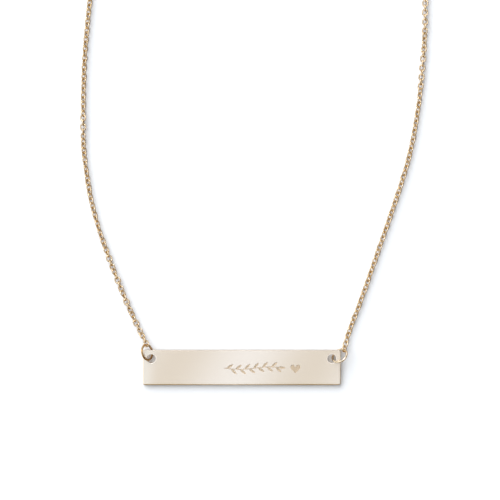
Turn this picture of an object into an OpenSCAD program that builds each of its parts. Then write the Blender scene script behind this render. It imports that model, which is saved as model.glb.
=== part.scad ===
// Nameplate necklace: a flat engraved bar on a fine cable chain, laid on a table as one whole loop.
// Millimetres. X runs to the right, Y up the loop from the bar to the clasp, Z up from the table.
// Places are first given from the middle of the bar, and the whole necklace is then centred on Z.

/* [Bar] */
// Length of the bar
bar_len = 35.5; // [30:0.1:40]
// Height of the bar, from its lower edge to its upper edge
bar_high = 6.3; // [6.2:0.1:7]
// Thickness of the bar
bar_thick = 0.75; // [0.6:0.05:0.75]
// Corner radius of the bar, seen from the front
bar_corner = 0.35; // [0.2:0.05:1]
// Rounding of the bar's long and short edges
bar_edge = 0.14; // [0.1:0.02:0.24]
// Lean of the bar, whose upper edge lies on the jump rings
bar_lean = 5.5; // [5.5:0.1:6.5]

/* [Holes in the bar] */
// Diameter of the two holes
hole_d = 1.55; // [1.55:0.01:1.7]
// From the end of the bar to the middle of a hole
hole_from_end = 1.55; // [1.4:0.05:1.8]
// From the upper edge of the bar to the middle of a hole
hole_from_top = 1.55; // [1.4:0.05:1.7]
// Width of the small chamfer round each hole
hole_chamfer = 0.06; // [0.05:0.01:0.15]

/* [Engraving] */
// Depth of the engraving
cut_deep = 0.06; // [0.03:0.01:0.2]
// Width of the heart
heart_wide = 1.75; // [1:0.05:2.4]
// Middle of the heart along the bar, from the bar's middle
heart_x = 9.65; // [8.8:0.05:12]
// Middle of the heart up the bar, from the bar's middle
heart_y = -0.25; // [-1.2:0.05:1.2]
// Length of the sprig, from its foot to its tip
sprig_len = 11; // [8:0.5:11]
// Middle of the sprig along the bar, from the bar's middle
sprig_x = 2.4; // [-6:0.05:2.5]
// Middle of the sprig up the bar, from the bar's middle
sprig_y = -0.1; // [-1.2:0.05:1.2]
// Leaves along each side of the sprig
sprig_leaves = 6; // [3:1:7]
// Length of a leaf
leaf_len = 1.4; // [0.8:0.1:1.6]
// Width of the sprig's stem
stem_wide = 0.13; // [0.08:0.01:0.2]

/* [Jump rings] */
// Outer diameter of the jump rings that hold the bar
ring_od = 3.1; // [3.05:0.01:3.15]
// Wire of the jump rings
ring_wire = 0.35; // [0.3:0.01:0.35]

/* [Chain] */
// Outer length of a link
link_len = 1.34; // [1.28:0.01:1.44]
// Outer width of a link
link_wide = 1.1; // [1.05:0.01:1.18]
// Wire of a link
link_wire = 0.24; // [0.2:0.01:0.26]
// Width of the chain along its length, from flat to flat of its eight-sided form
chain_wide = 1; // [0.9:0.02:1.1]

/* [Clasp] */
// Outer diameter of the spring-ring clasp
clasp_od = 5.5; // [5.4:0.05:5.6]
// Tube of the clasp
clasp_tube = 1.1; // [1:0.05:1.1]
// Outer diameter of the ring that the clasp closes on
end_ring_od = 4; // [3.95:0.05:4.1]
// Wire of the ring that the clasp closes on
end_ring_wire = 0.45; // [0.4:0.01:0.45]
// Outer diameter of the ring between the clasp's eye and the chain
clasp_ring_od = 3; // [2.95:0.05:3.1]
// Wire of the ring between the clasp's eye and the chain
clasp_ring_wire = 0.35; // [0.3:0.01:0.35]

/* [Hidden] */
$fn = 48;

PLATE_GOLD = [0.89, 0.82, 0.71];
CHAIN_GOLD = [0.85, 0.72, 0.5];
eps = 0.01;
// Clearance that two linked wires keep
play = 0.04;

// How each ring lies: its middle from what it hangs on, the way its raised side points, how steeply
// it leans, and where the chain hangs on it, counted round from its raised side
POINTS = 2;
LEAN = 3;
HANGS = 4;
//             x      y    points lean  hangs
RING_LEFT = [-0.75, 1.1, 190, 51.5, -100];
RING_RIGHT = [1.38, 0.48, 309, 45.5, 110];
END_RING = [-2.8, 0, 90, 28, 104];
CLASP_RING = [4.8, 0, 90, 42, -110];
CLASP = [0, 0, 270, 14];
// Middle of the clasp, from the middle of the bar
clasp_at = [3, 169, 0];

// Middle line of each chain, from the link after its jump ring up to the clasp, for a bar of drawn_len
drawn_len = 35.5;
rest_z = chain_wide / 2;
ROUTE_LEFT = [
    [-17.6, 5.2, 0.8], [-18.6, 7.2, rest_z], [-20.9, 12.2, rest_z], [-23.4, 18.4, rest_z],
    [-25.7, 24.9, rest_z], [-27.4, 31.4, rest_z], [-28.4, 38.6, rest_z], [-28.6, 47, rest_z],
    [-28.3, 57, rest_z], [-27.4, 67, rest_z], [-26.3, 80, rest_z], [-25.4, 98, rest_z],
    [-25, 120, rest_z], [-24.8, 140, rest_z], [-22.6, 151.2, rest_z], [-17.2, 159.9, rest_z],
    [-9.8, 165.7, rest_z], [-4.2, 168, 0.65]
];
ROUTE_RIGHT = [
    [18.7, 4.4, 0.65], [19.3, 6.4, rest_z], [21.4, 12, rest_z], [23.7, 18.4, rest_z],
    [26, 25, rest_z], [28.2, 31.4, rest_z], [30.3, 38.4, rest_z], [31.8, 46.6, rest_z],
    [32.8, 56, rest_z], [33.2, 66, rest_z], [33.3, 80, rest_z], [33, 98, rest_z],
    [32.6, 120, rest_z], [32.2, 140, rest_z], [30, 151.2, rest_z], [24.6, 159.9, rest_z],
    [17.3, 165.7, rest_z], [11.8, 167.9, 0.65]
];
// Rings of the swept chain between two points of its route
route_steps = 2;
chain_sides = 8;

// Where the bar, its holes and the rings lie
hole_at = [bar_len / 2 - hole_from_end, bar_high / 2 - hole_from_top, 0];
bar_z =
    (bar_high / 2 - bar_edge) * sin(bar_lean) + (bar_thick / 2 - bar_edge) * cos(bar_lean) + bar_edge;
ring_r = (ring_od - ring_wire) / 2;
end_ring_r = (end_ring_od - end_ring_wire) / 2;
clasp_r = (clasp_od - clasp_tube) / 2;
clasp_ring_r = (clasp_ring_od - clasp_ring_wire) / 2;
link_r = (link_wide - link_wire) / 2;
link_side = link_len - link_wide;
// From a wire's middle to the middle of the link that hangs on it
function link_reach(wire) = link_len / 2 - link_wire - wire / 2 - play;
// The swept chain starts inside the far end of its end link
chain_start = link_len / 2 - link_wire * 0.8;

// Middle of a ring that leans from place and just touches the table
function ring_at(place, pose, r, wire) =
    [place[0] + pose[0], place[1] + pose[1], r * sin(pose[LEAN]) + wire / 2];
function raised_way(pose) = [
    cos(pose[POINTS]) * cos(pose[LEAN]), sin(pose[POINTS]) * cos(pose[LEAN]), sin(pose[LEAN])
];
function level_way(pose) = [-sin(pose[POINTS]), cos(pose[POINTS]), 0];
// Point of a ring's wire where the chain hangs, and the way the wire runs there
function hang_point(place, pose, r, wire) =
    ring_at(place, pose, r, wire)
    + r * (cos(pose[HANGS]) * raised_way(pose) + sin(pose[HANGS]) * level_way(pose));
function hang_tangent(pose) =
    cos(pose[HANGS]) * level_way(pose) - sin(pose[HANGS]) * raised_way(pose);

function unit(v) = v / norm(v);
function mirrored(v) = [-v[0], v[1], v[2]];
// Removes from v what lies along the unit vector way
function across(v, way) = v - (v * way) * way;

// Catmull-Rom curve through the route's points
function between(a, b, c, d, t) =
    0.5 * (2 * b + (c - a) * t + (2 * a - 5 * b + 4 * c - d) * t * t + (3 * b - a - 3 * c + d) * t * t * t);
function curve(points) = [
    for (i = [0 : len(points) - 2])
        for (j = [0 : route_steps - 1])
            between(
                points[max(i - 1, 0)], points[i], points[i + 1], points[min(i + 2, len(points) - 1)],
                j / route_steps
            ),
    points[len(points) - 1]
];

// A route for the bar as long as it is: its foot moves with the end of the bar, and its top stays
function fitted(points, side) = [
    for (p = points)
        [p[0] + side * (bar_len - drawn_len) / 2 * (1 - p[1] / clasp_at[1]), p[1], p[2]]
];
route_left = fitted(ROUTE_LEFT, -1);
route_right = fitted(ROUTE_RIGHT, 1);

// Nothing of the chain sinks into the table
function laid(points) = [for (p = points) [p[0], p[1], max(p[2], rest_z)]];
// Whole route of a chain: it starts in its first end link and ends in its last
function chain_path(first, route, last) =
    let (
        start = first + unit(route[0] - first) * chain_start,
        end = last + unit(route[len(route) - 1] - last) * chain_start
    )
    laid(curve(concat([start], route, [end])));

// Eight-sided tube along a list of points
module sweep(path) {
    count = len(path);
    radius = chain_wide / 2 / cos(180 / chain_sides);
    rings = [
        for (i = [0 : count - 1])
            let (
                way = unit(path[min(i + 1, count - 1)] - path[max(i - 1, 0)]),
                side = unit(cross(way, [0, 0, 1])),
                up = cross(side, way)
            )
            for (k = [0 : chain_sides - 1])
                let (a = (k + 0.5) * 360 / chain_sides)
                path[i] + radius * (cos(a) * side + sin(a) * up)
    ];
    walls = [
        for (i = [0 : count - 2])
            for (k = [0 : chain_sides - 1])
                let (
                    next = (k + 1) % chain_sides,
                    low = i * chain_sides,
                    high = low + chain_sides
                )
                [low + k, low + next, high + next, high + k]
    ];
    first_cap = [for (k = [0 : chain_sides - 1]) chain_sides - 1 - k];
    last_cap = [for (k = [0 : chain_sides - 1]) (count - 1) * chain_sides + k];
    polyhedron(points = rings, faces = concat([first_cap], walls, [last_cap]), convexity = 6);
}

// Torus about Z
module torus(r, wire) {
    rotate_extrude() translate([r, 0]) circle(d = wire);
}

// One oval link, long along X, flat in XY
module cable_link() {
    for (turn = [0, 180]) rotate([0, 0, turn]) {
        translate([link_side / 2, 0, 0])
            rotate([0, 0, -90]) rotate_extrude(angle = 180) translate([link_r, 0]) circle(d = link_wire);
        translate([-link_side / 2, link_r, 0]) rotate([0, 90, 0]) cylinder(h = link_side, d = link_wire);
    }
}

// The link that hangs on a ring's wire at the point given and leads the chain towards the next point.
// The ring's wire runs along tangent there, and the link lies square to it.
module end_link(point, tangent, next, wire) {
    x = unit(next - point);
    z = unit(across(tangent, x));
    y = cross(z, x);
    at = point + x * link_reach(wire);
    multmatrix([
        [x[0], y[0], z[0], at[0]],
        [x[1], y[1], z[1], at[1]],
        [x[2], y[2], z[2], at[2]],
        [0, 0, 0, 1]
    ]) cable_link();
}

// Rectangle with round corners
module round_rect(size, r) {
    square([size[0] - 2 * r, size[1]], center = true);
    square([size[0], size[1] - 2 * r], center = true);
    for (x = [-1, 1]) for (y = [-1, 1])
        translate([x * (size[0] / 2 - r), y * (size[1] / 2 - r)]) circle(r = r);
}

// Heart of two round lobes with a notch between them, whose straight sides run down to its tip
module heart(wide) {
    lobe_r = wide * 0.263;
    high = wide * 0.88;
    lobe = [wide / 2 - lobe_r, high / 2 - lobe_r];
    tip = [0, -high / 2];
    to_tip = tip - lobe;
    // Where the straight side meets the lobe, counted round the lobe's middle
    meets = atan2(to_tip[1], to_tip[0]) + acos(lobe_r / norm(to_tip));
    side = lobe + lobe_r * [cos(meets), sin(meets)];
    // The notch runs in straight lines from the tops of the lobes down to its bottom
    notch = [0, high / 2 - wide * 0.273];
    inner = lobe + lobe_r * [cos(100), sin(100)];
    difference() {
        union() {
            polygon([tip, side, lobe, [-lobe[0], lobe[1]], [-side[0], side[1]]]);
            for (x = [-1, 1]) translate([x * lobe[0], lobe[1]]) circle(r = lobe_r);
        }
        polygon([notch, inner, inner + [0, wide], [-inner[0], inner[1] + wide], [-inner[0], inner[1]]]);
    }
}

// Slim pointed leaf along X, of two arcs
module leaf() {
    r = leaf_len * 0.9;
    drop = sqrt(r * r - leaf_len * leaf_len / 4);
    translate([leaf_len / 2, 0]) intersection() {
        translate([0, drop]) circle(r = r);
        translate([0, -drop]) circle(r = r);
    }
}

// The sprig's stem lies in one long wave: its height at x, and how steeply it rises there
stem_wave = 0.22;
function stem_y(x) = stem_wave * sin(360 * x / sprig_len);
function stem_rise(x) = atan(stem_wave * 2 * PI / sprig_len * cos(360 * x / sprig_len));

// Sprig along X, with its leaves by turns on one side and the other and one at its tip
module sprig() {
    leaf_lean = 38;
    foot = -sprig_len / 2;
    top = sprig_len / 2 - leaf_len;
    count = 2 * sprig_leaves;
    step = (top - foot) / count;
    stem = [for (i = [0 : count]) [foot + step * i, stem_y(foot + step * i)]];
    polygon(concat(
        [for (p = stem) p - [0, stem_wide / 2]],
        [for (i = [count : -1 : 0]) stem[i] + [0, stem_wide / 2]]
    ));
    for (i = [0 : count - 1]) {
        x = foot + step * (i + 0.5);
        side = i % 2 == 0 ? 1 : -1;
        translate([x, stem_y(x)]) rotate(stem_rise(x) + side * leaf_lean) leaf();
    }
    translate([top - eps, stem_y(top)]) rotate(stem_rise(top)) leaf();
}

module plate_blank() {
    intersection() {
        linear_extrude(bar_thick, center = true) round_rect([bar_len, bar_high], bar_corner);
        rotate([90, 0, 90]) linear_extrude(bar_len + 1, center = true)
            round_rect([bar_high, bar_thick], bar_edge);
        rotate([90, 0, 0]) linear_extrude(bar_high + 1, center = true)
            round_rect([bar_len, bar_thick], bar_edge);
    }
}

module hanging_hole() {
    cylinder(h = bar_thick + 1, d = hole_d, center = true);
    for (face = [0, 180]) rotate([face, 0, 0])
        translate([0, 0, bar_thick / 2 - hole_chamfer])
            cylinder(h = hole_chamfer + eps, d1 = hole_d, d2 = hole_d + 2 * (hole_chamfer + eps));
}

module engraving() {
    translate([0, 0, bar_thick / 2 - cut_deep]) linear_extrude(cut_deep + 1) {
        translate([heart_x, heart_y]) heart(heart_wide);
        translate([sprig_x, sprig_y]) sprig();
    }
}

// Brings the parts from the middle of the bar to the middle of the whole necklace
x_low = min([for (p = route_left) p[0]]) - chain_wide / 2;
x_high = max([for (p = route_right) p[0]]) + chain_wide / 2;
y_low = -bar_high / 2 * cos(bar_lean);
y_high = clasp_at[1] + clasp_r * cos(CLASP[LEAN]) + clasp_tube / 2;
module placed() {
    translate([-(x_low + x_high) / 2, -(y_low + y_high) / 2, 0]) children();
}

module nameplate() {
    color(PLATE_GOLD) placed() translate([0, 0, bar_z]) rotate([bar_lean, 0, 0]) difference() {
        plate_blank();
        for (side = [-1, 1]) translate([side * hole_at[0], hole_at[1], 0]) hanging_hole();
        engraving();
    }
}

// Lays a ring that is made flat about Z, with its raised side towards X
module lying(place, pose, r, wire) {
    placed() translate(ring_at(place, pose, r, wire))
        rotate([0, 0, pose[POINTS]]) rotate([0, -pose[LEAN], 0]) children();
}
module ring(place, pose, r, wire) {
    color(CHAIN_GOLD) lying(place, pose, r, wire) torus(r, wire);
}
module jump_ring_left() { ring(mirrored(hole_at), RING_LEFT, ring_r, ring_wire); }
module jump_ring_right() { ring(hole_at, RING_RIGHT, ring_r, ring_wire); }
module end_ring() { ring(clasp_at, END_RING, end_ring_r, end_ring_wire); }
module clasp_ring() { ring(clasp_at, CLASP_RING, clasp_ring_r, clasp_ring_wire); }

// A chain from its jump ring to its ring at the clasp: a real link at each end, and between them
// the outer form of the fine links
module chain(first, first_pose, route, last, last_pose, last_wire) {
    color(CHAIN_GOLD) placed() {
        end_link(first, hang_tangent(first_pose), route[0], ring_wire);
        sweep(chain_path(first, route, last));
        end_link(last, hang_tangent(last_pose), route[len(route) - 1], last_wire);
    }
}
module chain_left() {
    chain(
        hang_point(mirrored(hole_at), RING_LEFT, ring_r, ring_wire), RING_LEFT, route_left,
        hang_point(clasp_at, END_RING, end_ring_r, end_ring_wire), END_RING, end_ring_wire
    );
}
module chain_right() {
    chain(
        hang_point(hole_at, RING_RIGHT, ring_r, ring_wire), RING_RIGHT, route_right,
        hang_point(clasp_at, CLASP_RING, clasp_ring_r, clasp_ring_wire), CLASP_RING, clasp_ring_wire
    );
}

// Spring ring in one plain piece: its tube, its eye towards Y and the thumb knob of its gate
module clasp() {
    eye_r = 0.7;
    eye_wire = 0.4;
    eye_bite = 0.15;
    knob_d = 0.65;
    knob_turn = -30;
    knob_out = clasp_od / 2 + 0.5;
    color(CHAIN_GOLD) lying(clasp_at, CLASP, clasp_r, clasp_tube) {
        torus(clasp_r, clasp_tube);
        translate([0, clasp_od / 2 - eye_bite + eye_r + eye_wire / 2, 0]) torus(eye_r, eye_wire);
        rotate([0, 0, knob_turn]) translate([clasp_r, 0, 0]) rotate([0, 90, 0]) {
            cylinder(h = knob_out - clasp_r, d = knob_d * 0.7);
            translate([0, 0, knob_out - clasp_r]) sphere(d = knob_d);
        }
    }
}

nameplate();
jump_ring_left();
jump_ring_right();
chain_left();
chain_right();
end_ring();
clasp();
clasp_ring();
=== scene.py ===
# Nameplate necklace, dressed: the engraved bar, its jump rings, every link of both chains and the
# spring-ring clasp. Shapes are made in millimetres from the middle of the bar, as the part's source
# gives them, and add_piece() brings each into the frame.
import bisect
import math
import random

import bmesh
import bpy
from mathutils import Matrix, Vector, noise


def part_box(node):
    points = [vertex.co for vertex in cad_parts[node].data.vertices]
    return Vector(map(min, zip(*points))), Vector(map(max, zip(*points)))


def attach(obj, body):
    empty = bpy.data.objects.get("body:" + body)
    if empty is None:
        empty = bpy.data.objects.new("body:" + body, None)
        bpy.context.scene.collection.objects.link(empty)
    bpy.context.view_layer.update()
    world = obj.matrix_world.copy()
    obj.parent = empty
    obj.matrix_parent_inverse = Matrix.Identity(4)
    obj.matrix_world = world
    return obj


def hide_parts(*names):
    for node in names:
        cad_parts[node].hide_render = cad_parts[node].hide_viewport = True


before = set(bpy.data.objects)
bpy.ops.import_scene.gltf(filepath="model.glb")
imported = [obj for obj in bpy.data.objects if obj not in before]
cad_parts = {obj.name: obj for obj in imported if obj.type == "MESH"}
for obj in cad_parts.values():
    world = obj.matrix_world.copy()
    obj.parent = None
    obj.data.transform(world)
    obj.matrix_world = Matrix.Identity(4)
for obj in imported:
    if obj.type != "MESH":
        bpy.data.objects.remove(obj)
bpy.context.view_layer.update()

MM = 0.001

# The bar
BAR_LEN = 35.5
BAR_HIGH = 6.3
BAR_THICK = 0.75
BAR_CORNER = 0.35
BAR_EDGE = 0.14
BAR_LEAN = 5.5
HOLE_D = 1.55
HOLE_EDGE = 0.06
HOLE_FROM_END = 1.55
HOLE_FROM_TOP = 1.55
HOLE_RIGHT = Vector((BAR_LEN / 2 - HOLE_FROM_END, BAR_HIGH / 2 - HOLE_FROM_TOP, 0))
HOLE_LEFT = Vector((-HOLE_RIGHT.x, HOLE_RIGHT.y, 0))

# The engraving
CUT_DEEP = 0.06
HEART_WIDE = 1.75
HEART_AT = Vector((9.65, -0.25, 0))
SPRIG_LEN = 11
SPRIG_AT = Vector((2.4, -0.1, 0))
SPRIG_LEAVES = 6
LEAF_LEN = 1.4
LEAF_LEAN = 38
STEM_WIDE = 0.13
STEM_WAVE = 0.22
# How far the shapes that cut the engraving stand past the bar's face, and those that cut the holes
# stand from its middle
CUTTER_HIGH = 1

# The rings, by their outer diameter and their wire
JUMP_RING_OD = 3.1
JUMP_RING_WIRE = 0.35
END_RING_OD = 4
END_RING_WIRE = 0.45
CLASP_RING_OD = 3
CLASP_RING_WIRE = 0.35

# The chain's links
LINK_LEN = 1.34
LINK_WIDE = 1.1
LINK_WIRE = 0.24
LINK_R = (LINK_WIDE - LINK_WIRE) / 2
LINK_PITCH = 0.837
# Free room between an end link and the ring it hangs on
PLAY = 0.04
# How far a link is rolled at random from where the chain turns it, in degrees
LINK_LOOSE = 5
# Steps round a link, and sides of its wire
LINK_STEPS = 16
LINK_SIDES = 6

# The clasp
CLASP_OD = 5.5
CLASP_TUBE = 1.1
CLASP_R = (CLASP_OD - CLASP_TUBE) / 2

# Middle of the bar in the frame, in millimetres, and of the clasp from the middle of the bar
bar_low, bar_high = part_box("nameplate")
BAR_MIDDLE = (Vector(bar_low) + Vector(bar_high)) / 2 / MM
CLASP_AT = Vector((3, 169, 0))

# Middle line of each chain, from the link after its jump ring up to the clasp
REST_Z = 0.5
ROUTE_LEFT = [
    (-17.6, 5.2, 0.8), (-18.6, 7.2, REST_Z), (-20.9, 12.2, REST_Z), (-23.4, 18.4, REST_Z),
    (-25.7, 24.9, REST_Z), (-27.4, 31.4, REST_Z), (-28.4, 38.6, REST_Z), (-28.6, 47, REST_Z),
    (-28.3, 57, REST_Z), (-27.4, 67, REST_Z), (-26.3, 80, REST_Z), (-25.4, 98, REST_Z),
    (-25, 120, REST_Z), (-24.8, 140, REST_Z), (-22.6, 151.2, REST_Z), (-17.2, 159.9, REST_Z),
    (-9.8, 165.7, REST_Z), (-4.2, 168, 0.65),
]
ROUTE_RIGHT = [
    (18.7, 4.4, 0.65), (19.3, 6.4, REST_Z), (21.4, 12, REST_Z), (23.7, 18.4, REST_Z),
    (26, 25, REST_Z), (28.2, 31.4, REST_Z), (30.3, 38.4, REST_Z), (31.8, 46.6, REST_Z),
    (32.8, 56, REST_Z), (33.2, 66, REST_Z), (33.3, 80, REST_Z), (33, 98, REST_Z),
    (32.6, 120, REST_Z), (32.2, 140, REST_Z), (30, 151.2, REST_Z), (24.6, 159.9, REST_Z),
    (17.3, 165.7, REST_Z), (11.8, 167.9, 0.65),
]
# How the links are rolled from lying face up: distances from the jump ring, each with its degrees
ROLLS_LEFT = [
    (2, 45), (4, 90), (8.2, 180), (12.4, 270), (16.6, 360), (19, 405), (39.4, 405), (40.6, 450),
    (42.8, 450), (44, 405), (170, 405),
]
ROLLS_RIGHT = [
    (2, 45), (49, 45), (51.2, 90), (55, 90), (57, 45), (59, 45), (60.8, 90), (65, 90), (68, 45),
    (170, 45),
]


def turn(degrees, axis):
    return Matrix.Rotation(math.radians(degrees), 4, axis)


class LyingRing:
    """A wire ring that leans and just touches the table. x and y bring its middle from what it hangs
    on, points is the way its raised side points, and hangs is where the chain hangs, counted round
    from there."""

    def __init__(self, hangs_on, x, y, points, lean, hangs, outer, wire):
        self.wire = wire
        self.r = (outer - wire) / 2
        self.hangs = math.radians(hangs)
        high = self.r * math.sin(math.radians(lean)) + wire / 2
        middle = Vector((hangs_on.x + x, hangs_on.y + y, high))
        self.seat = Matrix.Translation(middle) @ turn(points, "Z") @ turn(-lean, "Y")

    def hang_point(self):
        return self.seat @ Vector((self.r * math.cos(self.hangs), self.r * math.sin(self.hangs), 0))

    def hang_tangent(self):
        return self.seat.to_3x3() @ Vector((-math.sin(self.hangs), math.cos(self.hangs), 0))


# How each ring lies
JUMP_RING_LEFT = LyingRing(
    HOLE_LEFT, x=-0.75, y=1.1, points=190, lean=51.5, hangs=-100,
    outer=JUMP_RING_OD, wire=JUMP_RING_WIRE,
)
JUMP_RING_RIGHT = LyingRing(
    HOLE_RIGHT, x=1.38, y=0.48, points=309, lean=45.5, hangs=110,
    outer=JUMP_RING_OD, wire=JUMP_RING_WIRE,
)
END_RING = LyingRing(
    CLASP_AT, x=-2.8, y=0, points=90, lean=28, hangs=104, outer=END_RING_OD, wire=END_RING_WIRE,
)
CLASP_RING = LyingRing(
    CLASP_AT, x=4.8, y=0, points=90, lean=42, hangs=-110,
    outer=CLASP_RING_OD, wire=CLASP_RING_WIRE,
)
CLASP = LyingRing(
    CLASP_AT, x=0, y=0, points=270, lean=14, hangs=0, outer=CLASP_OD, wire=CLASP_TUBE,
)


# Shapes

WIRE_SIDES = 20
# Steepest angle between two faces that still shade smoothly into each other, in degrees
CREASE = 35


def only(kind, geom):
    """The vertices, edges or faces among what an operator made"""
    return [g for g in geom if isinstance(g, kind)]


def add_piece(bm, name, finishes, stands_for):
    """Makes a shape, still in millimetres from the middle of the bar, a piece of the necklace"""
    home = Matrix.Scale(MM, 4) @ Matrix.Translation((BAR_MIDDLE.x, BAR_MIDDLE.y, 0))
    bmesh.ops.transform(bm, matrix=home, verts=bm.verts)
    bmesh.ops.recalc_face_normals(bm, faces=bm.faces)
    mesh = bpy.data.meshes.new(name)
    bm.to_mesh(mesh)
    bm.free()
    for finish in finishes:
        mesh.materials.append(finish)
    piece = bpy.data.objects.new(name, mesh)
    bpy.context.scene.collection.objects.link(piece)
    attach(piece, "root")
    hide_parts(stands_for)


def kept(bm, name):
    """Keeps a shape as a mesh that stamp() can repeat"""
    mesh = bpy.data.meshes.new(name)
    bm.to_mesh(mesh)
    bm.free()
    return mesh


def stamp(bm, shape, place):
    """Adds a copy of a kept shape at a place"""
    before = len(bm.verts)
    bm.from_mesh(shape)
    bm.verts.ensure_lookup_table()
    bmesh.ops.transform(bm, matrix=place, verts=bm.verts[before:])


def carved(bm, cutter):
    """Cuts one shape out of another"""
    pair = []
    for shape in (bm, cutter):
        mesh = kept(shape, "carving")
        pair.append(bpy.data.objects.new("carving", mesh))
        bpy.context.scene.collection.objects.link(pair[-1])
    blank, tool = pair
    cut = blank.modifiers.new("cut", "BOOLEAN")
    cut.operation = "DIFFERENCE"
    cut.solver = "EXACT"
    cut.use_self = True
    cut.object = tool
    graph = bpy.context.evaluated_depsgraph_get()
    result = bmesh.new()
    result.from_mesh(blank.evaluated_get(graph).to_mesh())
    for helper in pair:
        bpy.data.objects.remove(helper)
    return result


def smooth(bm):
    """Shades a shape smooth between its creases"""
    for face in bm.faces:
        face.smooth = True
    for edge in bm.edges:
        edge.smooth = edge.calc_face_angle(0) < math.radians(CREASE)


def wire_circle(bm, across, out):
    """Section of a wire of the given diameter, standing at a distance out along X"""
    made = bmesh.ops.create_circle(bm, segments=WIRE_SIDES, radius=across / 2)["verts"]
    bmesh.ops.transform(bm, matrix=Matrix.Translation((out, 0, 0)) @ turn(90, "X"), verts=made)
    return made


def bent_wire(bm, across, r, first, last, steps):
    """Wire bent round Z from one angle to another, in degrees, closed at its ends"""
    section = wire_circle(bm, across, r)
    bmesh.ops.rotate(bm, cent=(0, 0, 0), matrix=turn(first, "Z"), verts=section)
    rim = list(dict.fromkeys(edge for vert in section for edge in vert.link_edges))
    whole = last - first >= 360
    swept = bmesh.ops.spin(
        bm, geom=section + rim, cent=(0, 0, 0), axis=(0, 0, 1), angle=math.radians(last - first),
        steps=steps, use_merge=whole,
    )
    if not whole:
        bmesh.ops.edgeloop_fill(bm, edges=rim)
        bmesh.ops.edgeloop_fill(bm, edges=only(bmesh.types.BMEdge, swept["geom_last"]))


def bar_blank():
    bm = bmesh.new()
    size = Matrix.Diagonal((BAR_LEN, BAR_HIGH, BAR_THICK, 1))
    bmesh.ops.create_cube(bm, size=1, matrix=size)
    uprights = [e for e in bm.edges if abs(e.verts[0].co.z - e.verts[1].co.z) > BAR_THICK / 2]
    bmesh.ops.bevel(
        bm, geom=uprights, offset=BAR_CORNER, segments=6, profile=0.5, affect="EDGES", material=-1,
    )
    rims = [e for e in bm.edges if abs(e.verts[0].co.z - e.verts[1].co.z) < BAR_THICK / 2]
    bmesh.ops.bevel(
        bm, geom=rims, offset=BAR_EDGE, segments=5, profile=0.5, affect="EDGES", material=-1,
    )
    return bm


def hole_cutter():
    """Hole whose edges are rounded over at each face of the bar"""
    bm = bmesh.new()
    half = BAR_THICK / 2
    rounding = []
    for degrees in range(0, 90, 20):
        a = math.radians(degrees)
        out = HOLE_D / 2 + HOLE_EDGE * (1 - math.cos(a))
        rounding.append((out, half - HOLE_EDGE * (1 - math.sin(a))))
    # A last slope runs on through the face
    clear = rounding[-1][0] + HOLE_EDGE
    slope_rise = 0.2 * HOLE_EDGE
    side = rounding + [(clear, half + slope_rise), (clear, CUTTER_HIGH)]
    profile = side[::-1] + [(x, -z) for x, z in side]
    line = [bm.verts.new((x, 0, z)) for x, z in profile]
    edges = [bm.edges.new(pair) for pair in zip(line, line[1:])]
    bmesh.ops.spin(
        bm, geom=line + edges, cent=(0, 0, 0), axis=(0, 0, 1), angle=math.tau, steps=48,
        use_merge=True,
    )
    bmesh.ops.holes_fill(bm, edges=bm.edges, sides=0)
    bmesh.ops.recalc_face_normals(bm, faces=bm.faces)
    return kept(bm, "hole")


def raised(bm):
    """Stands a flat outline up from the engraving's floor past the bar's face"""
    bmesh.ops.remove_doubles(bm, verts=bm.verts, dist=0.0001)
    if not bm.faces:
        bmesh.ops.contextual_create(bm, geom=bm.edges[:])
    up = bmesh.ops.extrude_face_region(bm, geom=bm.faces[:])["geom"]
    tops = only(bmesh.types.BMVert, up)
    bmesh.ops.translate(bm, vec=(0, 0, CUT_DEEP + CUTTER_HIGH), verts=tops)
    bmesh.ops.recalc_face_normals(bm, faces=bm.faces)


def leaf_cutter():
    """Slim pointed leaf along X, of two arcs"""
    bm = bmesh.new()
    arc_r = LEAF_LEN * 0.9
    half = math.asin(LEAF_LEN / 2 / arc_r)
    drop = arc_r * math.cos(half)
    tip = bmesh.ops.create_vert(bm, co=(0, 0, 0))["vert"]
    for side in (-1, 1):
        middle = (LEAF_LEN / 2, side * drop, 0)
        arc = bmesh.ops.spin(bm, geom=tip, cent=middle, axis=(0, 0, 1), angle=-2 * half, steps=10)
        tip = only(bmesh.types.BMVert, arc["geom_last"])
    raised(bm)
    return kept(bm, "leaf")


def heart_cutter():
    """Heart of two round lobes with straight sides that run down to its tip and into its notch"""
    bm = bmesh.new()
    lobe_r = HEART_WIDE * 0.263
    high = HEART_WIDE * 0.88
    notch_deep = HEART_WIDE * 0.273
    lobe = Vector((HEART_WIDE / 2 - lobe_r, high / 2 - lobe_r, 0))
    to_tip = Vector((0, -high / 2, 0)) - lobe
    # Where the side from the tip meets the lobe, and where the side into the notch leaves it,
    # counted round the lobe's middle
    meets = math.atan2(to_tip.y, to_tip.x) + math.acos(lobe_r / to_tip.length)
    leaves = math.radians(100)
    side = lobe + lobe_r * Vector((math.cos(meets), math.sin(meets), 0))
    tip = bmesh.ops.create_vert(bm, co=lobe + to_tip)["vert"]
    end = bmesh.ops.create_vert(bm, co=side)["vert"]
    bmesh.ops.contextual_create(bm, geom=tip + end)
    arc = bmesh.ops.spin(bm, geom=end, cent=lobe, axis=(0, 0, 1), angle=leaves - meets, steps=20)
    top = only(bmesh.types.BMVert, arc["geom_last"])
    notch = bmesh.ops.create_vert(bm, co=(0, high / 2 - notch_deep, 0))["vert"]
    bmesh.ops.contextual_create(bm, geom=top + notch)
    bmesh.ops.mirror(bm, geom=bm.verts[:] + bm.edges[:], axis="X", merge_dist=0.001)
    raised(bm)
    return kept(bm, "heart")


def stem_line(x):
    """Height of the sprig's stem, which lies in one long wave, and how steeply it rises there"""
    wave = math.tau / SPRIG_LEN
    return STEM_WAVE * math.sin(wave * x), math.atan(STEM_WAVE * wave * math.cos(wave * x))


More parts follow.
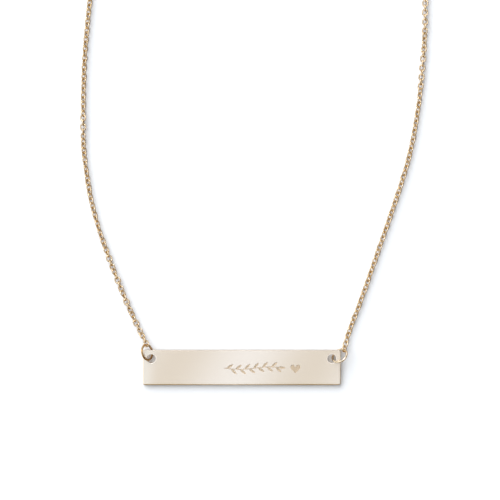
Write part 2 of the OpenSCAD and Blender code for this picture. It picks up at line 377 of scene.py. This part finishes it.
def engraving_cutter():
    """The heart, and the sprig with leaves on alternate sides and one at its tip"""
    bm = bmesh.new()
    floor = Matrix.Translation((0, 0, BAR_THICK / 2 - CUT_DEEP))
    sprig = floor @ Matrix.Translation(SPRIG_AT)
    foot = -SPRIG_LEN / 2
    top = SPRIG_LEN / 2 - LEAF_LEN
    count = 2 * SPRIG_LEAVES
    step = (top - foot) / count

    stem = bmesh.new()
    size = Matrix.Diagonal((top - foot, STEM_WIDE, 1, 1))
    along = Matrix.Translation(((foot + top) / 2, 0, 0)) @ size
    bmesh.ops.create_grid(stem, x_segments=count, y_segments=1, size=0.5, matrix=along)
    for vert in stem.verts:
        vert.co.y += stem_line(vert.co.x)[0]
    raised(stem)
    stamp(bm, kept(stem, "stem"), sprig)

    leaf = leaf_cutter()
    spots = [(foot + step * (i + 0.5), LEAF_LEAN * (-1) ** i) for i in range(count)]
    overlap = 0.01
    spots.append((top - overlap, 0))
    for x, lean in spots:
        y, rise = stem_line(x)
        points = turn(math.degrees(rise) + lean, "Z")
        stamp(bm, leaf, sprig @ Matrix.Translation((x, y, 0)) @ points)
    stamp(bm, heart_cutter(), floor @ Matrix.Translation(HEART_AT))
    return bm


def nameplate(face_finish, cut_finish):
    bm = bar_blank()
    cutter = engraving_cutter()
    hole = hole_cutter()
    for at in (HOLE_LEFT, HOLE_RIGHT):
        stamp(cutter, hole, Matrix.Translation(at))
    bm = carved(bm, cutter)

    smooth(bm)
    # What lies a little below the bar's face, between the holes, is the engraving
    face_z = BAR_THICK / 2
    hair = 0.001
    for face in bm.faces:
        middle = face.calc_center_median()
        within = abs(middle.x) < HOLE_RIGHT.x - HOLE_D and abs(middle.y) < BAR_HIGH / 2 - BAR_EDGE
        if within and face_z - CUT_DEEP - hair < middle.z < face_z - hair:
            face.material_index = 1
    # The flat faces stay flat up to their rounded edges
    for edge in bm.edges:
        flat = [abs(f.normal.z) > 0.9999 for f in edge.link_faces]
        if any(flat) and not all(flat):
            edge.smooth = False
    lean = Matrix.Translation((0, 0, BAR_MIDDLE.z)) @ turn(BAR_LEAN, "X")
    bmesh.ops.transform(bm, matrix=lean, verts=bm.verts)
    add_piece(bm, "engraved_bar", [face_finish, cut_finish], "nameplate")


def wire_ring(ring, name, stands_for, finish, seam_at, seam=0.03):
    """Wire bent round until its two ends meet, which leaves a hairline seam"""
    bm = bmesh.new()
    gap = math.degrees(seam / ring.r)
    bent_wire(bm, ring.wire, ring.r, seam_at + gap / 2, seam_at + 360 - gap / 2, steps=72)
    smooth(bm)
    bmesh.ops.transform(bm, matrix=ring.seat, verts=bm.verts)
    add_piece(bm, name, [finish], stands_for)


def link_shape():
    """One oval link, long along X and flat in XY: a ring whose halves are moved apart"""
    bm = bmesh.new()
    half_step = 180 / LINK_STEPS
    # The flats of the ring's sides lie as far out as the round would
    out = LINK_R / math.cos(math.radians(half_step))
    section = bmesh.ops.create_circle(bm, segments=LINK_SIDES, radius=LINK_WIRE / 2)["verts"]
    upright = Matrix.Translation((out, 0, 0)) @ turn(90, "X") @ turn(180 / LINK_SIDES, "Z")
    bmesh.ops.transform(bm, matrix=turn(half_step, "Z") @ upright, verts=section)
    bmesh.ops.spin(
        bm, geom=bm.verts[:] + bm.edges[:], cent=(0, 0, 0), axis=(0, 0, 1), angle=math.tau,
        steps=LINK_STEPS, use_merge=True,
    )
    apart = (LINK_LEN - LINK_WIDE) / 2
    for side in (-1, 1):
        half = [v for v in bm.verts if v.co.x * side > 0]
        bmesh.ops.translate(bm, vec=(side * apart, 0, 0), verts=half)
    bmesh.ops.recalc_face_normals(bm, faces=bm.faces)
    for face in bm.faces:
        face.smooth = True
    return kept(bm, "link")


def curve(points, steps):
    """Catmull-Rom curve through the points"""
    made = []
    last = len(points) - 1
    for i in range(last):
        a, b, c, d = (points[min(max(k, 0), last)] for k in range(i - 1, i + 3))
        for j in range(steps):
            t = j / steps
            made.append(0.5 * (
                2 * b + (c - a) * t + (2 * a - 5 * b + 4 * c - d) * t ** 2
                + (3 * b - a - 3 * c + d) * t ** 3
            ))
    return made + [points[last]]


class Walk:
    """A line through points, walked by its length"""

    def __init__(self, points):
        self.points = points
        self.walked = [0]
        for a, b in zip(points, points[1:]):
            self.walked.append(self.walked[-1] + (b - a).length)
        self.length = self.walked[-1]

    def at(self, distance):
        i = min(bisect.bisect_right(self.walked, distance), len(self.points) - 1)
        share = (distance - self.walked[i - 1]) / (self.walked[i] - self.walked[i - 1])
        return self.points[i - 1].lerp(self.points[i], share)


def looked_up(table, at):
    """Value between the entries of a table of pairs"""
    if at <= table[0][0]:
        return table[0][1]
    for (a, low), (b, high) in zip(table, table[1:]):
        if at <= b:
            return low + (high - low) * (at - a) / (b - a)
    return table[-1][1]


def facing(way, roll):
    """Way that a link's flat side faces, when it runs along way, rolled by an angle from face up"""
    up = (Vector((0, 0, 1)) - way * way.z).normalized()
    return up * math.cos(roll) + way.cross(up) * math.sin(roll)


def roll_of(way, out):
    """Roll of a link that runs along way and whose flat side faces out"""
    up = (Vector((0, 0, 1)) - way * way.z).normalized()
    return math.atan2(out.dot(way.cross(up)), out.dot(up))


def nearest(angle, other):
    """The angle that differs from the given one by half turns and lies nearest to the other"""
    return angle + round((other - angle) / math.pi) * math.pi


def sway(spot, seed):
    """How far a chain strays sideways from its line: a short wave and a long one, both at random"""
    short_wide, short_len = 0.07, 2.3
    long_wide, long_len = 0.1, 7
    short = short_wide * noise.noise(Vector((spot / short_len, seed, 0)))
    return short + long_wide * noise.noise(Vector((spot / long_len, 0, seed)))


def crossings(line, reach, pitch, count, rolls, seed):
    """Where the links of a chain cross each other, with its two ends: pairs of the distance along the
    line and the point there. The chain strays less near its ends."""
    look_ahead = 0.3
    calm_len = 6
    made = [(0, line.points[0])]
    for i in range(count - 1):
        spot = reach + pitch * (i + 0.5)
        point = line.at(spot)
        ahead = line.at(spot + look_ahead) - point
        sideways = Vector((-ahead.y, ahead.x, 0)).normalized()
        free_to_stray = min(1, spot / calm_len, (line.length - spot) / calm_len)
        roll = math.radians(looked_up(rolls, spot))
        rests = LINK_R * max(abs(math.sin(roll)), abs(math.cos(roll))) + LINK_WIRE / 2
        point = point + sideways * sway(spot, seed) * free_to_stray
        point.z = max(point.z - REST_Z + rests, rests)
        made.append((spot, point))
    return made + [(line.length, line.points[-1])]


def chain(first_ring, route, last_ring, rolls, name, stands_for, finish, seed):
    """Links from one ring to the other, each square to the next"""
    chance = random.Random(seed)
    start = first_ring.hang_point()
    end = last_ring.hang_point()
    line = Walk(curve([start] + [Vector(p) for p in route] + [end], steps=12))
    # How far the middles of the first and the last link lie from the middle of their rings' wire
    reach = [LINK_LEN / 2 - LINK_WIRE - ring.wire / 2 - PLAY for ring in (first_ring, last_ring)]
    free = line.length - sum(reach)
    count = round(free / LINK_PITCH) + 1
    pitch = free / (count - 1)
    crossed = crossings(line, reach[0], pitch, count, rolls, seed)

    # The first and the last link stand square to their rings
    first_way = (crossed[1][1] - start).normalized()
    last_way = (end - crossed[-2][1]).normalized()
    quarter = math.pi / 2
    first_roll = nearest(roll_of(first_way, first_ring.hang_tangent()), math.radians(rolls[0][1]))
    last_roll = roll_of(last_way, last_ring.hang_tangent()) - quarter * ((count - 1) % 2)
    last_roll = nearest(last_roll, math.radians(rolls[-1][1]))
    rolls = [(0, math.degrees(first_roll))] + rolls + [(line.length, math.degrees(last_roll))]

    link = link_shape()
    bm = bmesh.new()
    tone = bm.faces.layers.float.new("tone")
    for i in range(count):
        (from_spot, a), (to_spot, b) = crossed[i:i + 2]
        way = (b - a).normalized()
        at = (a + b) / 2
        if i == 0:
            at = start + way * reach[0]
        if i == count - 1:
            at = end - way * reach[1]
        loose = math.radians(chance.gauss(0, LINK_LOOSE)) * (0 < i < count - 1)
        chain_roll = math.radians(looked_up(rolls, (from_spot + to_spot) / 2))
        roll = chain_roll + quarter * (i % 2) + loose
        out = facing(way, roll)
        # No link dips into the table
        at.z = max(at.z, LINK_R * abs(math.sin(roll)) + LINK_WIRE / 2)
        across = out.cross(way)
        place = Matrix((way, across, out)).transposed().to_4x4()
        place.translation = at
        before = len(bm.faces)
        stamp(bm, link, place)
        bm.faces.ensure_lookup_table()
        shade = chance.random()
        for face in bm.faces[before:]:
            face[tone] = shade
    add_piece(bm, name, [finish], stands_for)


def spring_clasp(finish):
    """Tube with its gate wire across the gap, the eye, and the thumb knob in its slot"""
    gap_from = 8
    gap_to = 58
    end_rounding = 0.12
    gate_wire = CLASP_TUBE * 0.6
    gate_hidden = 6
    eye_r = 0.7
    eye_wire = 0.4
    eye_sunk = 0.15
    knob_turn = -30
    knob_d = 0.65
    knob_out = CLASP_OD / 2 + 0.5
    knob_stem_r = knob_d * 0.35
    slot_from = knob_turn - 14
    slot_long = 34
    slot_wide = 0.36
    slot_deep = 0.25

    bm = bmesh.new()
    bent_wire(bm, CLASP_TUBE, CLASP_R, gap_to, gap_from + 360, steps=60)
    ends = [e for e in bm.edges if e.calc_face_angle(0) > math.radians(60)]
    bmesh.ops.bevel(
        bm, geom=ends, offset=end_rounding, segments=3, profile=0.5, affect="EDGES", material=-1,
    )
    slot = bmesh.new()
    bmesh.ops.create_grid(slot, x_segments=1, y_segments=1, size=0.5)
    size = Matrix.Diagonal((2 * slot_deep, slot_wide, 1, 1))
    across = Matrix.Translation((CLASP_OD / 2, 0, 0)) @ turn(90, "X") @ size
    bmesh.ops.transform(slot, matrix=turn(slot_from, "Z") @ across, verts=slot.verts)
    bmesh.ops.spin(
        slot, geom=slot.faces[:], cent=(0, 0, 0), axis=(0, 0, 1), angle=math.radians(slot_long),
        steps=10,
    )
    bmesh.ops.holes_fill(slot, edges=slot.edges, sides=0)
    bmesh.ops.recalc_face_normals(slot, faces=slot.faces)
    bm = carved(bm, slot)

    gate = bmesh.new()
    bent_wire(gate, gate_wire, CLASP_R, gap_from - gate_hidden, gap_to + gate_hidden, steps=12)
    eye = bmesh.new()
    bent_wire(eye, eye_wire, eye_r, 0, 360, steps=40)
    knob = bmesh.new()
    bmesh.ops.create_uvsphere(knob, u_segments=20, v_segments=12, radius=knob_d / 2)
    bmesh.ops.translate(knob, vec=(knob_out, 0, 0), verts=knob.verts)
    stem = bmesh.ops.create_cone(
        knob, cap_ends=True, segments=16, radius1=knob_stem_r, radius2=knob_stem_r,
        depth=knob_out - CLASP_R,
    )["verts"]
    along = Matrix.Translation(((knob_out + CLASP_R) / 2, 0, 0)) @ turn(90, "Y")
    bmesh.ops.transform(knob, matrix=along, verts=stem)

    eye_at = Matrix.Translation((0, CLASP_OD / 2 - eye_sunk + eye_r + eye_wire / 2, 0))
    for part, place in ((gate, Matrix()), (eye, eye_at), (knob, turn(knob_turn, "Z"))):
        stamp(bm, kept(part, "part"), place)
    smooth(bm)
    bmesh.ops.transform(bm, matrix=CLASP.seat, verts=bm.verts)
    add_piece(bm, "spring_clasp", [finish], "clasp")


# Finishes

class Signal:
    """A node's output that takes part in sums"""

    def __init__(self, bench, socket):
        self.bench = bench
        self.socket = socket

    def sum(self, operation, first, second):
        return self.bench.node("ShaderNodeMath", {"operation": operation}, {0: first, 1: second})

    def __add__(self, other):
        return self.sum("ADD", self, other)

    def __radd__(self, other):
        return self.sum("ADD", other, self)

    def __sub__(self, other):
        return self.sum("SUBTRACT", self, other)

    def __rsub__(self, other):
        return self.sum("SUBTRACT", other, self)

    def __mul__(self, other):
        return self.sum("MULTIPLY", self, other)

    def __rmul__(self, other):
        return self.sum("MULTIPLY", other, self)

    def __abs__(self):
        return self.bench.node("ShaderNodeMath", {"operation": "ABSOLUTE"}, {0: self})

    def capped(self, most):
        return self.sum("MINIMUM", self, most)


class Bench:
    """Nodes of one material or of the studio's surroundings"""

    def __init__(self, tree):
        self.tree = tree
        tree.nodes.clear()

    def node(self, kind, settings=None, sockets=None, output=0):
        """Adds a node: its settings, then the values or links of its sockets. Returns one output."""
        made = self.tree.nodes.new(kind)
        for key, value in (settings or {}).items():
            setattr(made, key, value)
        for key, value in (sockets or {}).items():
            if isinstance(value, Signal):
                self.tree.links.new(value.socket, made.inputs[key])
            else:
                made.inputs[key].default_value = value
        return Signal(self, made.outputs[output]) if made.outputs else None

    def out(self, signal, name):
        """Another output of the node that a signal comes from"""
        return Signal(self, signal.socket.node.outputs[name])

    def between(self, value, low, high):
        """0 below low, 1 above high and smooth from one to the other"""
        return self.node(
            "ShaderNodeMapRange", {"interpolation_type": "SMOOTHSTEP"},
            {"Value": value, "From Min": low, "From Max": high},
        )

    def mixed(self, share, first, second):
        """Colour between two colours"""
        first, second = ((*c, 1) if isinstance(c, tuple) else c for c in (first, second))
        sockets = {0: share, 6: first, 7: second}
        return self.node("ShaderNodeMix", {"data_type": "RGBA"}, sockets, output=2)

    def speckle(self, place, scale, detail, roughness=0.5):
        """Random mottling, about a millimetre divided by scale across"""
        return self.node("ShaderNodeTexNoise", {}, {
            "Vector": place, "Scale": scale, "Detail": detail, "Roughness": roughness,
        })

    def bump(self, strength, deep, height, sockets=None):
        """Relief of a given depth in millimetres"""
        sockets = {"Strength": strength, "Distance": deep * MM, "Height": height, **(sockets or {})}
        return self.node("ShaderNodeBump", {}, sockets)

    def placed(self, middle=(0, 0, 0), turned=(0, 0, 0), stretch=(1, 1, 1)):
        """Millimetres from a middle that is given in millimetres in the frame, turned by degrees"""
        here = self.node("ShaderNodeTexCoord", output="Object")
        return self.node("ShaderNodeMapping", {"vector_type": "TEXTURE"}, {
            "Vector": here, "Location": Vector(middle) * MM,
            "Rotation": [math.radians(a) for a in turned], "Scale": [MM * s for s in stretch],
        })


def new_finish(name):
    """A new material and its bench"""
    made = bpy.data.materials.new(name)
    made.use_nodes = True
    return made, Bench(made.node_tree)


def metal(bench, colour, roughness, normal, metallic=1.0):
    """Ends a material in its shader. Below 1, metallic leaves it a satin share."""
    shader = bench.node("ShaderNodeBsdfPrincipled", {}, {
        "Base Color": colour, "Roughness": roughness, "Metallic": metallic, "Normal": normal,
    })
    bench.node("ShaderNodeOutputMaterial", {}, {"Surface": shader})


# Share of metal in the bar's surface, whose rest is satin, so that it is neither white nor black
PLATE_METALLIC = 0.7


def painted_hole_glints(bench, x, y):
    """1 on the rounded rims of the bar's two holes, where a glint is painted"""
    fades_in = 0.04
    fades_out = 0.08
    folded = bench.node("ShaderNodeCombineXYZ", {}, {"X": abs(x), "Y": y})
    out = bench.node(
        "ShaderNodeVectorMath", {"operation": "DISTANCE"}, {0: folded, 1: HOLE_RIGHT}, output="Value",
    )
    edge = HOLE_D / 2 + HOLE_EDGE
    within = 1 - bench.between(out, edge, edge + fades_out)
    return bench.between(out, HOLE_D / 2, HOLE_D / 2 + fades_in) * within


def plate_gold():
    """Pale polished gold, a little wavy from rolling, finely scratched, with painted reflection bands
    that follow its waves and a painted sheen at its left end;
    its rounded ends and hole rims are painted lighter as glints, its upper edge darker and its lower
    one a darker, browner gold as painted shade, and all these rims are duller"""
    made, bench = new_finish("plate gold")
    apart = bench.node("ShaderNodeSeparateXYZ", {}, {
        "Vector": bench.placed(BAR_MIDDLE, (BAR_LEAN, 0, 0)),
    })
    x = bench.out(apart, "X")
    y = bench.out(apart, "Y")
    half_len = BAR_LEN / 2
    half_high = BAR_HIGH / 2

    wave_len = 25
    wave_slant = 0.55
    phase = (x - wave_slant * y) * (math.tau / wave_len)
    rise = bench.node("ShaderNodeMath", {"operation": "SINE"}, {0: phase})
    # Painted reflection: the face is painted lighter and darker in bands that follow the waves of its
    # bump
    painted_band = 0.5 + 0.5 * bench.node("ShaderNodeMath", {"operation": "COSINE"}, {0: phase})
    colour = bench.mixed(painted_band, (0.775, 0.665, 0.535), (0.875, 0.79, 0.70))
    # Painted sheen: the face is painted lighter over its last few millimetres at the left end
    left_end_len = 3
    painted_left_sheen = 1 - bench.between(x, -half_len, left_end_len - half_len)
    colour = bench.mixed(0.7 * painted_left_sheen, colour, (0.90, 0.83, 0.73))

    def rim(at, end, inside, short):
        """1 along an edge: fades in from inside its rounding and is full a short way from the end"""
        return bench.between(at, end - BAR_EDGE - inside, end - short)

    # Painted glints: the bar's rounded ends are painted lighter
    ends = rim(abs(x), half_len, inside=0.05, short=0.05)
    colour = bench.mixed(ends, colour, (0.94, 0.86, 0.72))
    # Painted shade: the rounded upper edge is painted darker
    painted_upper_shade = rim(y, half_high, inside=0.05, short=0.05)
    colour = bench.mixed(painted_upper_shade, colour, (0.43, 0.40, 0.36))
    # Painted shade: the rounded lower edge is painted a darker, browner gold, in the same painted
    # bands as the face
    painted_lower_shade = rim(0 - y, half_high, inside=0.16, short=0.08)
    painted_brown = bench.mixed(painted_band, (0.52, 0.37, 0.17), (0.68, 0.56, 0.40))
    colour = bench.mixed(painted_lower_shade, colour, painted_brown)
    # Painted glints: the rounded rims of the holes are painted almost white
    rims = painted_hole_glints(bench, x, y)
    colour = bench.mixed(rims, colour, (1.0, 0.97, 0.92))

    scratch_slant = 62
    along_scratch = bench.placed(BAR_MIDDLE, (BAR_LEAN, 0, scratch_slant), stretch=(0.3, 6, 1))
    scratches = bench.speckle(along_scratch, 2.2, detail=3)
    edges = (ends + painted_upper_shade + painted_lower_shade + rims).capped(1)
    roughness = 0.2 + 0.08 * scratches + 0.35 * edges
    waves = bench.bump(1.0, 0.1, rise)
    fine = bench.bump(0.12, 0.004, scratches, {"Normal": waves})
    metal(bench, colour, roughness, fine, metallic=PLATE_METALLIC)
    return made


def cut_gold():
    """Floor of the engraving: matt and browner, with the fine hatch of the cutter"""
    made, bench = new_finish("engraved gold")
    place = bench.placed(BAR_MIDDLE, (BAR_LEAN, 0, 0))
    grain = bench.speckle(place, 9, detail=3, roughness=0.7)
    hatch = bench.node(
        "ShaderNodeTexWave", {"wave_type": "BANDS", "bands_direction": "Y"},
        {"Vector": place, "Scale": 3.2, "Distortion": 0.6},
    )
    colour = bench.mixed(grain, (0.50, 0.385, 0.265), (0.72, 0.60, 0.45))
    roughness = 0.5 + 0.12 * grain
    metal(bench, colour, roughness, bench.bump(0.5, 0.01, hatch + grain), PLATE_METALLIC)
    return made


def wire_gold(name, tint, pale):
    """Polished gold wire between two tints. The links' tone attribute gives each its own."""
    made, bench = new_finish(name)
    place = bench.placed()
    tone = bench.node("ShaderNodeAttribute", {"attribute_name": "tone"}, output="Fac")
    drift = bench.speckle(place, 0.4, detail=1)
    grain = bench.speckle(place, 9, detail=3, roughness=0.6)
    colour = bench.mixed(0.5 * tone + 0.5 * drift, tint, pale)
    roughness = 0.1 + 0.1 * grain + 0.06 * tone
    metal(bench, colour, roughness, bench.bump(0.15, 0.01, grain))
    return made


# The necklace

plate = plate_gold()
cut = cut_gold()
wire = wire_gold("chain gold", (0.80, 0.635, 0.38), (0.91, 0.79, 0.61))
# The jump rings are shaded and lit copies of one gold: the left one is painted darker as shade, the
# right one lighter as light
left_ring_painted_dark = wire_gold("left ring gold painted dark", (0.60, 0.41, 0.19), (0.76, 0.60, 0.38))
right_ring_painted_light = wire_gold("right ring gold painted light", (0.86, 0.76, 0.58), (0.95, 0.89, 0.78))
clasp_wire = wire_gold("clasp gold", (0.84, 0.64, 0.39), (0.89, 0.75, 0.54))

nameplate(plate, cut)
wire_ring(JUMP_RING_LEFT, "jump_ring_wire_left", "jump_ring_left", left_ring_painted_dark, seam_at=70)
wire_ring(JUMP_RING_RIGHT, "jump_ring_wire_right", "jump_ring_right", right_ring_painted_light, seam_at=-60)
wire_ring(END_RING, "end_ring_wire", "end_ring", wire, seam_at=20, seam=0)
wire_ring(CLASP_RING, "clasp_ring_wire", "clasp_ring", wire, seam_at=0)
chain(
    JUMP_RING_LEFT, ROUTE_LEFT, END_RING, ROLLS_LEFT, "links_left", "chain_left", wire, seed=3,
)
chain(
    JUMP_RING_RIGHT, ROUTE_RIGHT, CLASP_RING, ROLLS_RIGHT, "links_right", "chain_right", wire, seed=8,
)
spring_clasp(clasp_wire)


# The table, the light and the camera

def table():
    """White table, which the metal mirrors darker and browner than it is"""
    half_wide = 4000 * MM
    sunk = 0.01 * MM
    bm = bmesh.new()
    bmesh.ops.create_grid(bm, x_segments=1, y_segments=1, size=half_wide)
    bmesh.ops.translate(bm, vec=(0, 0, -sunk), verts=bm.verts)
    mesh = kept(bm, "table")
    made, bench = new_finish("white table")
    white, painted_brown = (
        bench.node("ShaderNodeBsdfDiffuse", {}, {"Color": (*colour, 1)})
        for colour in ((0.888, 0.9, 0.915), (0.44, 0.255, 0.075))
    )
    mirrored = bench.node("ShaderNodeLightPath", output="Is Glossy Ray")
    shader = bench.node("ShaderNodeMixShader", {}, {0: mirrored, 1: white, 2: painted_brown})
    bench.node("ShaderNodeOutputMaterial", {}, {"Surface": shader})
    mesh.materials.append(made)
    top = bpy.data.objects.new("table", mesh)
    bpy.context.scene.collection.objects.link(top)


def studio():
    """Two rooms with a white ceiling, a window, a lamp and dim walls: one lights the table, and the
    other is what the metal mirrors, which is neither too bright nor too dark from any side"""
    world = bpy.data.worlds.new("studio")
    bpy.context.scene.world = world
    world.use_nodes = True
    bench = Bench(world.node_tree)
    way = bench.node("ShaderNodeTexCoord", output="Generated")

    def lit(room, towards, rim, core, colour):
        """A room with one more light, which fades in round a direction, from one cosine to another"""
        near = bench.node(
            "ShaderNodeVectorMath", {"operation": "DOT_PRODUCT"},
            {0: way, 1: Vector(towards).normalized()}, output="Value",
        )
        return bench.mixed(bench.between(near, rim, core), room, colour)

    overhead = (-0.149, -0.188, 0.971)
    ceiling = (0.95, 1.0, 1.06)

    # The room that lights the table
    dim_walls = (0.095, 0.067, 0.038)
    light = lit(dim_walls, overhead, 0.583, 0.927, ceiling)
    window = (-0.53, 0.785, 0.32)
    light = lit(light, window, 0.538, 1.0, (4.95, 5.02, 5.09))
    lamp = (-0.701, 0.058, 0.71)
    light = lit(light, lamp, 0.948, 0.991, (3.35, 3.42, 3.49))

    # The room that the metal mirrors
    dim_walls = (0.13, 0.09, 0.05)
    bright_walls = (-0.823, 0.568, 0)
    shown = lit(dim_walls, bright_walls, -0.69, 0.52, (1.0, 0.97, 0.92))
    shown = lit(shown, overhead, 0.86, 0.92, ceiling)
    window = (-0.101, 0.984, 0.149)
    shown = lit(shown, window, 0.62, 0.72, (1.02, 1.02, 1.02))
    lamp = (-0.076, 0.45, 0.89)
    shown = lit(shown, lamp, 0.962, 0.982, (6.0, 6.0, 6.0))

    mirrored = bench.node("ShaderNodeLightPath", output="Is Glossy Ray")
    light = bench.mixed(mirrored, light, shown)
    seen = bench.node("ShaderNodeLightPath", output="Is Camera Ray")
    backdrop = bench.mixed(seen, light, (1.0, 1.0, 1.0))
    shine = bench.node("ShaderNodeBackground", {}, {"Color": backdrop, "Strength": 1.0})
    bench.node("ShaderNodeOutputWorld", {}, {"Surface": shine})


def camera():
    """The photograph's view, from nearly straight above and a touch from the bar's lower side"""
    # Middle of the view, across and up from the middle of the bar and above the table
    aim = Vector((BAR_MIDDLE.x + 1.5, BAR_MIDDLE.y + 21.1, 0.4)) * MM
    seen_wide = 90 * MM
    far = 450 * MM
    elevation = math.radians(87.5)
    back = Vector((0, -math.cos(elevation), math.sin(elevation)))
    data = bpy.data.cameras.new("camera")
    data.sensor_width = 36
    data.lens = data.sensor_width * far / seen_wide
    data.clip_start = 0.01
    data.clip_end = 20
    made = bpy.data.objects.new("camera", data)
    made.location = aim + back * far
    made.rotation_mode = "QUATERNION"
    made.rotation_quaternion = (-back).to_track_quat("-Z", "Y")
    bpy.context.scene.collection.objects.link(made)
    bpy.context.scene.camera = made


table()
studio()
camera()
bpy.context.scene.view_settings.view_transform = "Standard"
